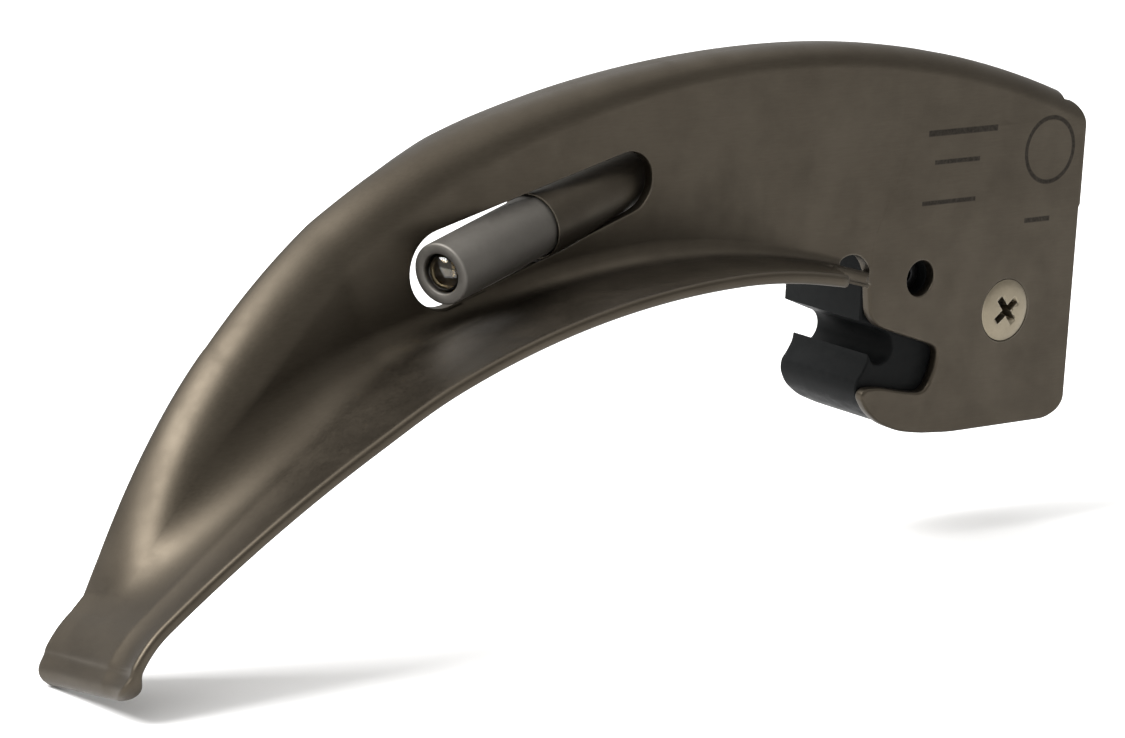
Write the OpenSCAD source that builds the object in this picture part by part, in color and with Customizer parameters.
// Hook-on laryngoscope blade, curved pattern, size 2, with a screw-in lamp.
// Origin: axis of the handle pin seat, mid width of the heel block.
// +X runs to the back of the heel, the tip is at -X, the lamp side is -Y, +Z is away from the handle.

/* [Heel] */
// Overall width of the heel over the block and the side plate
heel_w = 11.4; // [10.4:0.2:13]
// Radius of the seat that hooks over the handle pin
seat_r = 1.55; // [1.5:0.05:1.7]
// Downward slope of the hook mouth, in degrees
mouth_slope = 18.4; // [14:0.2:22]
// Diameter of the side plate screw
screw_d = 3.0; // [2.6:0.1:3.4]

/* [Blade sheet] */
// Thickness of the pressed sheet
sheet_t = 1.1; // [0.9:0.05:1.3]
// How far the spatula stands out from the mid plane of the heel
spatula_out = 17.5; // [15:0.5:20]
// How far the rolled flange reaches past the mid plane
flange_in = 0.6; // [0:0.2:1.4]
// Radius of the bend between spatula and web
bend_r = 1.9; // [1.4:0.1:2.4]
// Radius of the bead along the tip
bead_r = 0.95; // [0.8:0.05:1.1]
// How much the free edge of the spatula is raised
edge_rise = 1.15; // [0.8:0.05:1.4]

/* [Lamp] */
// Diameter of the lamp sleeve
lamp_d = 5.4; // [5:0.1:5.4]
// Length of the lamp sleeve in front of its shoulder
lamp_len = 13.6; // [13.2:0.1:14]
// Angle the lamp rises towards the heel, in degrees
lamp_rise = 10.6; // [8:0.2:13]
// Angle the lamp crosses the web, in degrees
lamp_toe = 15.8; // [15.5:0.1:16.2]
// Outer diameter of the socket tube
tube_d = 6.0; // [5.95:0.05:6.1]

/* [Hidden] */
side_y = -heel_w / 2;
plate_in = side_y + sheet_t;
spat_r1 = 85;
spat_r2 = 150;
spat_r3 = 9;
crest = [-26.5, 10.7];
spat_a1 = 27;
spat_a2 = 36.5;
spat_a3 = 60;
lip_a = 80;
lip_r = 1.2;
spat_c1 = [crest[0], crest[1] - spat_r1];
spat_c2 = next_centre(spat_c1, spat_r1, spat_r2, spat_a1);
spat_c3 = next_centre(spat_c2, spat_r2, spat_r3, spat_a2);
lip_c = next_centre(spat_c3, spat_r3, lip_r, spat_a3);
top_r0 = 97;
top_r1 = 120;
top_r2 = 62;
top_crest = [-13.5, 28.4];
top_a1 = 15;
top_c0 = [top_crest[0], top_crest[1] - top_r0];
top_c1 = [top_crest[0], top_crest[1] - top_r1];
top_c2 = next_centre(top_c1, top_r1, top_r2, top_a1);
top_join = on_arc(top_c1, top_r1, top_a1)[0];
shoulder_r = 2.0;
tip_in = -3.6;
rear_x = 23.1;
base_z = -8.6;
plate_x = -3.0;
block_front = -2.75;
block_top = 12.6;
hole_p = [3.4, 6.3];
screw_p = [14.4, 2.35];
relief_p = [-5.3, 6.9];
relief_r = 2.35;
strip_x = -4.3;
pin_p = [17.6, 8.6];
contact_x = 10.8;
wire_turn = [contact_x, 0, 8.2];
slot_front = [-51.7, 12.05];
slot_back = [-32.0, 17.35];
slot_r1 = 3.4;
slot_r2 = 2.85;
lamp_front = [-54.1, -8.4, 12.35];
tube_z = 12.9;
tube_len = 20;
lamp_dir = [cos(lamp_rise) * cos(lamp_toe), cos(lamp_rise) * sin(lamp_toe), sin(lamp_rise)];
tube_in = lamp_front + (tube_z + tube_len - 2.6) * lamp_dir;
turn_pt = lamp_front + (tube_z + tube_len + 2.4) * lamp_dir;
conduit_in = wire_turn + 0.24 * (turn_pt - wire_turn);
fn_big = 64;
fn_mid = 32;

function on_arc(c, r, a) = [c[0] - r * sin(a), c[1] + r * cos(a)];
function next_centre(c, r, r_next, a) = [c[0] - (r - r_next) * sin(a), c[1] + (r - r_next) * cos(a)];
function ring_pts(c, r, a0, a1, n) = [for (i = [0 : n]) c + r * [cos(a0 + (a1 - a0) * i / n), sin(a0 + (a1 - a0) * i / n)]];
function mouth(u, v) = [u * cos(mouth_slope) + v * sin(mouth_slope), -u * sin(mouth_slope) + v * cos(mouth_slope)];

// A flat shape drawn in X and Z, standing between two Y values
module slab(y0, y1) {
  translate([0, y1, 0])
    rotate([90, 0, 0])
      linear_extrude(y1 - y0)
        children();
}

// A round bar along Y
module bar_y(p, r, y0, y1) {
  translate([p[0], y0, p[1]])
    rotate([-90, 0, 0])
      cylinder(r = r, h = y1 - y0, $fn = fn_mid);
}

// A round bar between two points
module bar(p, q, r) {
  d = q - p;
  l = norm(d);
  translate(p)
    rotate([0, acos(d[2] / l), atan2(d[1], d[0])])
      cylinder(r = r, h = l, $fn = fn_mid);
}

function unit(v) = v / norm(v);

// A bar run through a list of points, mitred at each turn; each leg is a little thinner
module run(pts, r) {
  last = len(pts) - 2;
  for (i = [0 : last]) {
    d = unit(pts[i + 1] - pts[i]);
    bar(pts[i] - (i > 0 ? r : 0) * d, pts[i + 1] + (i < last ? r : 0) * d, r * (1 - 0.03 * i));
  }
}

// Lamp frame: local Z runs from the lamp face back into the socket
module lamp_frame() {
  translate(lamp_front)
    rotate([0, 90 - lamp_rise, lamp_toe])
      children();
}

// A turned part in the lamp frame, drawn as [radius, distance]
module turned(points, fn = fn_big) {
  lamp_frame()
    rotate_extrude($fn = fn)
      polygon(points);
}

// Base path: the top face of the spatula, by the angle of its normal
function base_pt(a) = a <= spat_a1 ? on_arc(spat_c1, spat_r1, a)
  : a <= spat_a2 ? on_arc(spat_c2, spat_r2, a)
  : a <= spat_a3 ? on_arc(spat_c3, spat_r3, a)
  : on_arc(lip_c, lip_r, a);

// Length of a ray from p along the unit direction d to the far side of a circle
function reach(p, d, c, r) = (c - p) * d + sqrt(max(0, r * r - (c - p) * (c - p) + pow((c - p) * d, 2)));
function top_reach(a, c, r) = reach(base_pt(a), [-sin(a), cos(a)], c, r);
function top_x(a, h) = base_pt(a)[0] - h * sin(a);

// Height of the flange top above the spatula, along the spatula normal
function web_h(a) = a > 36 ? 0
  : top_x(a, top_reach(a, top_c0, top_r0)) > top_c0[0] ? top_reach(a, top_c0, top_r0)
  : top_x(a, top_reach(a, top_c1, top_r1)) > top_join ? top_reach(a, top_c1, top_r1)
  : max(0, top_reach(a, top_c2, top_r2));

function blend(x, x0, x1, v0, v1) = v0 + (v1 - v0) * min(1, max(0, (x - x0) / (x1 - x0)));
function ease(x, x0, x1, v0, v1) = blend(pow(sin(90 * blend(x, x0, x1, 0, 1)), 2), 0, 1, v0, v1);

// How far a point of the spatula is raised towards its free edge
function near_rise(a) = a < 22 ? ease(a, -15, 1, 0, edge_rise) : ease(a, 22, 28, edge_rise, 0.8 * edge_rise);
function rise_at(a, y) = blend(y, -spatula_out, side_y, near_rise(a), 0);

// How far the far edge of the tip hangs below the near edge
function sink_at(a, e) = ease(a, 29, 37.5, 0, 1.6) + (a < lip_a ? 0 : ease(e, 0, tail, 0.4, 0));
function sunk(a, e, y) = sink_at(a, e) * (y + spatula_out) / (tip_in + spatula_out);

// Widths taken by the bend and by the shoulder; they grow towards the tip
function bend_at(a) = a < 2 ? blend(a, -14, 2, 0.7, bend_r) : ease(a, 14, 33, bend_r, bend_r + 2.8);
function shoulder_at(a) = ease(a, -6, 33, shoulder_r, shoulder_r + 2.5);

// Reach of the flange edge and depth of its curl, by position along the blade
function edge_y(x) = x > -4 ? blend(x, -4, 24, flange_in, -2.4)
  : x > -50 ? flange_in
  : x > -68 ? blend(x, -68, -50, -1.6, flange_in)
  : blend(x, -84, -68, tip_in, -1.6);
function curl(x) = blend(x, -84, -60, 0, 0.7);

// Half thickness and corner rounding of the tip, e being the distance from its end
function bead_half(e) = e < bead_r ? sqrt(max(0, bead_r * bead_r - pow(bead_r - e, 2)))
  : ease(e, bead_r, tail, bead_r, sheet_t / 2);
function corner_in(e, r) = e > r ? 0 : r - sqrt(r * r - pow(r - e, 2));

// Stations: base point, normal angle, web height, squeeze, distance from the tip end
tail = 2.3;
function end_pt(e) = base_pt(lip_a) + (tail - e) * [-cos(lip_a), -sin(lip_a)];
stations = concat(
  [for (a = [-30, -27, -24, -21, -18]) [base_pt(a), a, web_h(a), 0.04, 9]],
  [for (a = [-16.2, -15, -13, -10, -7, -4, -1, 2, 5, 8, 11, 14, 17, 20, 23, 25.5]) [base_pt(a), a, web_h(a), 1, 9]],
  [for (a = [27 : 0.75 : 35.25]) [base_pt(a), a, web_h(a), 1, 9]],
  [for (a = [36.2, 38, 43, 48, 52, 55, 58, 60, 67, 74]) [base_pt(a), a, 0, 1, tail + (lip_a - a) * 0.1]],
  [for (e = [2.3, 1.95, 1.6, 1.25, 0.95, 0.65, 0.4, 0.2, 0.08, 0.02]) [end_pt(e), lip_a, 0, 1, e]]
);

// One closed section as [y, distance above the base path]
n_arc = 5;
web_out = side_y + 0.02;
web_t = sheet_t - 0.04;
web_mid = web_out + web_t / 2;
function section(st) =
  let (
    x = top_x(st[1], st[2]),
    e = st[4],
    wide = bend_at(st[1]) + shoulder_at(st[1]),
    beta = st[2] >= wide ? 90 : max(1, 2 * atan(st[2] / wide)),
    rb = bend_at(st[1]) / sin(beta),
    rs = shoulder_at(st[1]) / sin(beta),
    rise = (rb + rs) * (1 - cos(beta)),
    h = max(st[2], rise) + 0.06,
    rt = min(0.3, bead_half(e) * 0.5),
    near = corner_in(e, 2.3) - spatula_out,
    far = edge_y(x) - corner_in(e, 1.2),
    sc = min(web_out + rs, far - rt - 0.25),
    bc = sc - (rs + rb) * sin(beta),
    hi = bead_half(e) - sheet_t / 2,
    lo = 0 - bead_half(e) - sheet_t / 2,
    foot = min(2.5, (h - rise) / 2),
    dip = 0.22 * min(1, e / 3),
    c = curl(x),
    k = st[3]
  )
  concat(
    [for (p = concat(
      [[near, hi - rt], [near + rt, hi]],
      [for (i = [1 : 4]) [near + rt + (bc - near - rt) * i / 5, hi - dip * sin(36 * i)]],
      [for (i = [0 : n_arc]) [bc + rb * sin(beta * i / n_arc), hi + rb - rb * cos(beta * i / n_arc)]]
    )) [web_mid + (p[0] - web_mid) * k, p[1]]],
    [[sc - rs * sin(beta), hi + rb - rb * cos(beta) + foot]],
    [for (i = [n_arc : -1 : 0]) [sc - rs * sin(beta * i / n_arc), hi + h - rs + rs * cos(beta * i / n_arc)]],
    [for (i = [1 : 4]) [sc + (far - rt - sc) * i / 4, hi + h - c * i * i / 16]],
    [[far, hi + h - rt - c], [far, lo + h + rt - c]],
    [for (i = [4 : -1 : 1]) [sc + (far - rt - sc) * i / 4, lo + h - c * i * i / 16]],
    [for (i = [0 : n_arc]) [sc - (rs - web_t) * sin(beta * i / n_arc),
                            lo + web_t + h - rs + (rs - web_t) * cos(beta * i / n_arc)]],
    [[sc - (rs - web_t) * sin(beta), lo + web_t + rb - (rb + web_t) * cos(beta) + foot]],
    [for (p = concat(
      [for (i = [n_arc : -1 : 0]) [bc + (rb + web_t) * sin(beta * i / n_arc),
                                   lo + web_t + rb - (rb + web_t) * cos(beta * i / n_arc)]],
      [for (i = [4 : -1 : 1]) [near + rt + (bc - near - rt) * i / 5, lo - dip * sin(36 * i)]],
      [[near + rt, lo], [near, lo + rt]]
    )) [web_mid + (p[0] - web_mid) * k, p[1]]]
  );

// The pressed sheet: every section joined to the next
module sheet_loft() {
  rings = [for (st = stations) [for (p = section(st)) let (h = p[1] + rise_at(st[1], p[0]))
    [st[0][0] - h * sin(st[1]), p[0], st[0][1] + h * cos(st[1]) - sunk(st[1], st[4], p[0])]]];
  n = len(rings[0]);
  m = len(rings);
  last = (m - 1) * n;
  half = n / 2;
  polyhedron(
    points = [for (ring = rings) each ring],
    faces = concat(
      [for (i = [0 : m - 2]) for (j = [0 : n - 1]) let (k = (j + 1) % n)
        [i * n + j, (i + 1) * n + j, (i + 1) * n + k]],
      [for (i = [0 : m - 2]) for (j = [0 : n - 1]) let (k = (j + 1) % n)
        [i * n + j, (i + 1) * n + k, i * n + k]],
      [for (j = [0 : half - 2]) [j, j + 1, n - 2 - j]],
      [for (j = [0 : half - 2]) [j, n - 2 - j, n - 1 - j]],
      [for (j = [0 : half - 2]) [last + j, last + n - 2 - j, last + j + 1]],
      [for (j = [0 : half - 2]) [last + j, last + n - 1 - j, last + n - 2 - j]]
    ),
    convexity = 8
  );
}

module side_plate() {
  slab(side_y, plate_in)
    difference() {
      polygon([
        [1.5, 20], [plate_x, 10.2], [plate_x, 7], [-2.55, 3.5], [-1.7, 2.5], [-0.6, 1.95],
        [5.4, -0.05], [6.05, -0.45], [6.25, -1.1], [6.05, -2.3], [5.45, -3.7], [5.0, -4.2], [4.3, -4.4],
        [2.5, -4.15], [-0.65, -3.45], [-2.2, -3.4], [-2.75, -3.8], [-2.75, -4.4],
        [-1.95, -5.6], [-0.35, -6.85], [2.2, -7.85], [4.8, -8.3], [8.6, base_z],
        [20.8, base_z], [22.3, -8.0], [rear_x, -7.1], [rear_x, 19.2], [20, 20]
      ]);
      circle(r = seat_r, $fn = fn_mid);
    }
}

// The slot narrows from its front end to its back end
module lamp_slot() {
  run_v = slot_back - slot_front;
  tilt = atan2(run_v[1], run_v[0]);
  lean = acos((slot_r1 - slot_r2) / norm(run_v));
  slab(side_y - 3, plate_in + 2)
    polygon(concat(
      ring_pts(slot_front, slot_r1, tilt + lean, tilt + 360 - lean, 20),
      ring_pts(slot_back, slot_r2, tilt - lean, tilt + lean, 16)
    ));
}

// Trims in plan the slanted heel end of the spatula
module heel_trim() {
  translate([0, 0, 3])
    linear_extrude(11)
      polygon([[plate_x, side_y], [plate_x - 11.2, -spatula_out], [plate_x - 11.2, -25], [8, -25], [8, side_y]]);
  translate([rear_x, -15, -2])
    cube([20, 30, 40]);
}

// Round relief at the end of the bend; a strip along the slanted edge stays joined to the plate
module bend_relief() {
  difference() {
    intersection() {
      bar_y(relief_p, relief_r, side_y - 4, plate_in + 1);
      linear_extrude(20)
        polygon([[strip_x, side_y], [strip_x - 5.6, side_y - 5.9], [-12, side_y - 5.9], [-12, 0], [0, 0], [0, side_y]]);
    }
    translate([strip_x, -10, 0])
      cube([5, 10, 7.3]);
  }
}

module blade() {
  color([0.52, 0.49, 0.44])
    difference() {
      union() {
        sheet_loft();
        side_plate();
      }
      lamp_slot();
      lamp_frame()
        translate([0, 0, tube_z - 0.5])
          cylinder(r = tube_d / 2 + 0.05, h = 18, $fn = fn_mid);
      bar_y(hole_p, 1.65, side_y - 1, plate_in + 1);
      bar_y(screw_p, screw_d / 2 + 0.15, side_y - 1, plate_in + 1);
      translate([screw_p[0], side_y - 0.01, screw_p[1]])
        rotate([-90, 0, 0])
          cylinder(r1 = 2.95, r2 = 1.6, h = 1.36, $fn = fn_mid);
      bend_relief();
      bar_y(pin_p, 1.0, plate_in - 0.6, plate_in + 1);
      heel_trim();
      rear_corner();
    }
}

// Rounds the top rear corner of the side plate
module rear_corner() {
  difference() {
    translate([rear_x - 2.2, side_y - 1, 19.4])
      cube([5, 12, 5]);
    bar_y([rear_x - 2.6, 18.9], 2.6, side_y - 2, 8);
  }
}

module heel_block() {
  y0 = plate_in;
  y1 = -side_y;
  color([0.30, 0.30, 0.31])
    difference() {
      slab(y0, y1)
        difference() {
          polygon([
            [block_front, 9.2], mouth(-3.4, 1.72), mouth(-0.2, 1.52), mouth(-0.2, -1.52), mouth(-0.9, -1.57),
            [-2.1, -2.35], [-2.6, -2.9], [-2.7, -3.9], [-2.05, -5.2], [-0.4, -6.5],
            [2.6, -7.75], [8.2, base_z], [20.6, base_z], [22.0, -8.1], [22.6, -7.4], [22.6, 9.6],
            [21.6, 11.6], [19.6, block_top], [1.6, block_top], [-1.2, 11.4]
          ]);
          circle(r = seat_r, $fn = fn_mid);
        }
      bar_y(screw_p, screw_d / 2 + 0.05, y0 - 1, 3.4);
      translate([screw_p[0], y0 - 0.01, screw_p[1]])
        rotate([-90, 0, 0])
          cylinder(r1 = 1.85, r2 = screw_d / 2 + 0.05, h = 0.35, $fn = fn_mid);
      bar_y(hole_p, 1.6, y0 - 1, 5.45);
      bar_y(hole_p, 1.42, 5.4, 6.5);
      bar_y(pin_p, 1.0, y0 - 1, -1.6);
      translate([contact_x, 0, base_z - 1])
        cylinder(r = 2.2, h = 4.6, $fn = fn_mid);
      run([[contact_x, 0, base_z], wire_turn, turn_pt], 0.95);
      bar(conduit_in, turn_pt, 1.3);
    }
}

module plate_screw() {
  color([0.86, 0.82, 0.70])
    translate([screw_p[0], side_y, screw_p[1]])
      rotate([-90, 0, 0])
        difference() {
          union() {
            cylinder(r1 = 2.9, r2 = screw_d / 2, h = 1.3, $fn = fn_mid);
            translate([0, 0, -0.2])
              cylinder(r1 = 2.45, r2 = 2.9, h = 0.2, $fn = fn_mid);
            translate([0, 0, 1.2])
              cylinder(r = screw_d / 2 - 0.02, h = 6.6, $fn = fn_mid);
            translate([0, 0, 7.8])
              cylinder(r1 = screw_d / 2 - 0.02, r2 = 0.9, h = 0.6, $fn = fn_mid);
          }
          for (a = [0, 90])
            rotate([0, 0, a + 20])
              translate([-1.45, -0.3, -1])
                cube([2.9, 0.6, 1.75]);
          for (i = [0 : 7])
            translate([0, 0, 2.4 + 0.6 * i])
              thread_groove(screw_d / 2, 0.22);
        }
}

// A shallow V groove cut round a shaft of radius r
module thread_groove(r, depth) {
  rotate_extrude($fn = fn_mid)
    polygon([[r - depth, 0], [r + 0.2, -depth - 0.1], [r + 0.2, depth + 0.1]]);
}

module locating_pin() {
  color([0.70, 0.70, 0.72])
    bar_y(pin_p, 0.99, plate_in - 0.55, -1.7);
}

module detent_ball() {
  color([0.82, 0.82, 0.84])
    translate([hole_p[0], 4.93, hole_p[1]])
      sphere(r = 1.5, $fn = fn_mid);
}

module coil(r, wire, h, turns) {
  linear_extrude(height = h, twist = -360 * turns, slices = round(turns * 20), $fn = 8)
    translate([r, 0])
      circle(r = wire, $fn = 8);
}

module detent_spring() {
  color([0.62, 0.62, 0.64])
    translate([hole_p[0], -0.55, hole_p[1]])
      rotate([-90, 0, 0])
        coil(1.12, 0.2, 4.25, 5);
}

module detent_plug() {
  color([0.12, 0.12, 0.13])
    translate([hole_p[0], -3.6, hole_p[1]])
      rotate([-90, 0, 0])
        difference() {
          cylinder(r = 1.56, h = 3.0, $fn = fn_mid);
          translate([0, 0, -0.1])
            cylinder(r = 0.75, h = 1.3, $fn = 6);
        }
}

module contact_bush() {
  color([0.90, 0.88, 0.80])
    translate([contact_x, 0, base_z])
      difference() {
        cylinder(r = 2.18, h = 3.58, $fn = fn_mid);
        translate([0, 0, -0.1])
          cylinder(r = 1.42, h = 0.95, $fn = fn_mid);
        cylinder(r = 0.77, h = 5, $fn = fn_mid);
      }
}

module heel_contact() {
  color([0.83, 0.66, 0.32])
    translate([contact_x, 0, base_z])
      difference() {
        union() {
          translate([0, 0, -0.35])
            cylinder(r1 = 1.1, r2 = 1.4, h = 0.35, $fn = fn_mid);
          cylinder(r = 1.4, h = 0.83, $fn = fn_mid);
          translate([0, 0, 0.8])
            cylinder(r = 0.75, h = 3.2, $fn = fn_mid);
        }
        translate([0, 0, 2.2])
          cylinder(r = 0.36, h = 3, $fn = fn_mid);
      }
}

wire_end = lamp_front + 26.9 * lamp_dir;
wire_pts = [[contact_x, 0, base_z + 2.3], wire_turn, turn_pt, wire_end];

module feed_wire() {
  color([0.80, 0.47, 0.28])
    run(wire_pts, 0.34);
}

module wire_sleeve() {
  top = wire_end + 1.0 * lamp_dir;
  color([0.75, 0.12, 0.10])
    difference() {
      run([[contact_x, 0, base_z + 4.6], wire_turn, turn_pt, top], 0.7);
      run([[contact_x, 0, base_z + 3.6], wire_turn, turn_pt, wire_end], 0.38);
    }
}

module conduit() {
  d = unit(turn_pt - conduit_in);
  color([0.58, 0.56, 0.52])
    difference() {
      run([conduit_in + 0.5 * d, turn_pt, tube_in], 1.28);
      run([conduit_in - 0.5 * d, turn_pt, tube_in - lamp_dir], 0.9);
    }
}

module socket_tube() {
  z0 = tube_z;
  z1 = tube_z + tube_len;
  r = tube_d / 2;
  mouth_r = lamp_d / 2 + 0.1;
  color([0.60, 0.58, 0.54])
    turned([
      [2.6, z0 + 1.45], [mouth_r, z0 + 1.3], [mouth_r, z0 + 0.05], [mouth_r + 0.04, z0], [r - 0.06, z0], [r, z0 + 0.12], [r, z1 - 2.2], [r - 0.35, z1 - 1.2],
      [r - 1.0, z1 - 0.45], [1.75, z1], [1.3, z1], [1.3, z1 - 1.4], [2.0, z1 - 2.0], [2.6, z1 - 3.6]
    ]);
}

module thread_bush() {
  color([0.80, 0.64, 0.33])
    difference() {
      turned([[2.08, 14.4], [2.58, 14.4], [2.58, 20.2], [2.08, 20.2]]);
      for (i = [0 : 9])
        lamp_frame()
          translate([0, 0, 14.85 + 0.5 * i])
            cylinder(r = 2.2, h = 0.22, $fn = fn_mid);
    }
}

module socket_insulator() {
  color([0.92, 0.90, 0.84])
    turned([
      [1.35, 20.6], [2.58, 20.6], [2.58, 26.6], [0.75, 26.6], [0.75, 23.9], [1.35, 23.9]
    ]);
}

module socket_plunger() {
  color([0.84, 0.67, 0.33])
    turned([
      [0, 20.35], [0.8, 20.35], [1.2, 20.75], [1.2, 21.2], [0.62, 21.2], [0.62, 25.4], [0, 25.4]
    ]);
}

module socket_spring() {
  color([0.66, 0.66, 0.68])
    lamp_frame()
      translate([0, 0, 21.25])
        coil(0.98, 0.15, 2.6, 4);
}

module lamp_shell() {
  r = lamp_d / 2;
  color([0.66, 0.66, 0.66])
    difference() {
      turned([
        [1.75, 0.1], [1.85, 0], [r - 0.15, 0], [r, 0.15], [r, lamp_len], [2.0, lamp_len], [2.0, 19.6],
        [1.85, 19.8], [1.5, 19.8], [1.5, lamp_len + 0.6], [2.12, lamp_len - 1.2], [2.12, 1.2], [1.75, 0.7]
      ]);
      for (i = [0 : 8])
        lamp_frame()
          translate([0, 0, 14.9 + 0.5 * i])
            thread_groove(2.0, 0.12);
    }
}

module lamp_glass() {
  color([0.90, 0.92, 0.92, 0.45])
    turned(concat(
      [for (a = [0 : 15 : 90]) [1.7 * sin(a), 0.75 - 1.0 * cos(a)]],
      [[2.08, 1.35], [2.08, 8.0], [1.85, 8.0], [1.85, 1.5]],
      [for (a = [90 : -15 : 0]) [1.35 * sin(a), 1.0 - 0.85 * cos(a)]]
    ));
}

module lamp_filament() {
  color([0.75, 0.72, 0.66])
    lamp_frame()
      translate([-0.62, 0, 1.95])
        rotate([0, 90, 0])
          coil(0.2, 0.07, 1.24, 4);
}

module lead(side) {
  color([0.60, 0.56, 0.50])
    lamp_frame()
      translate([side * 0.72, 0, 1.7])
        cylinder(r = 0.1, h = 10.4, $fn = 16);
}

module lamp_lead_left() {
  lead(-1);
}

module lamp_lead_right() {
  lead(1);
}

module lamp_stem() {
  color([0.80, 0.84, 0.82])
    difference() {
      turned([[0, 4.4], [0.9, 4.4], [1.1, 4.8], [1.1, 7.2], [1.8, 7.9], [1.8, 8.4], [0, 8.4]]);
      for (s = [-1, 1])
        lamp_frame()
          translate([s * 0.72, 0, 4])
            cylinder(r = 0.12, h = 5, $fn = 16);
    }
}

module lamp_cement() {
  color([0.82, 0.80, 0.74])
    difference() {
      turned([[0, 8.45], [2.08, 8.45], [2.08, 12.1], [0, 12.1]]);
      for (s = [-1, 1])
        lamp_frame()
          translate([s * 0.72, 0, 8])
            cylinder(r = 0.12, h = 5, $fn = 16);
    }
}

module lamp_cap_ring() {
  color([0.16, 0.15, 0.14])
    turned([[0.62, 17.2], [1.46, 17.2], [1.46, 20.0], [0.62, 20.0]], fn_mid);
}

module lamp_centre_tip() {
  color([0.72, 0.72, 0.70])
    turned([[0, 16.6], [0.6, 16.6], [0.6, 20.02], [0.9, 20.02], [0.75, 20.25], [0.4, 20.32], [0, 20.32]], fn_mid);
}

module lamp_seal() {
  color([0.10, 0.10, 0.10])
    turned([for (a = [0 : 30 : 330]) [2.29 + 0.24 * cos(a), lamp_len + 0.35 + 0.3 * sin(a)]], fn_mid);
}

blade();
heel_block();
plate_screw();
locating_pin();
detent_ball();
detent_spring();
detent_plug();
contact_bush();
heel_contact();
feed_wire();
wire_sleeve();
conduit();
socket_tube();
thread_bush();
socket_insulator();
socket_plunger();
socket_spring();
lamp_shell();
lamp_glass();
lamp_filament();
lamp_lead_left();
lamp_lead_right();
lamp_stem();
lamp_cement();
lamp_cap_ring();
lamp_centre_tip();
lamp_seal();
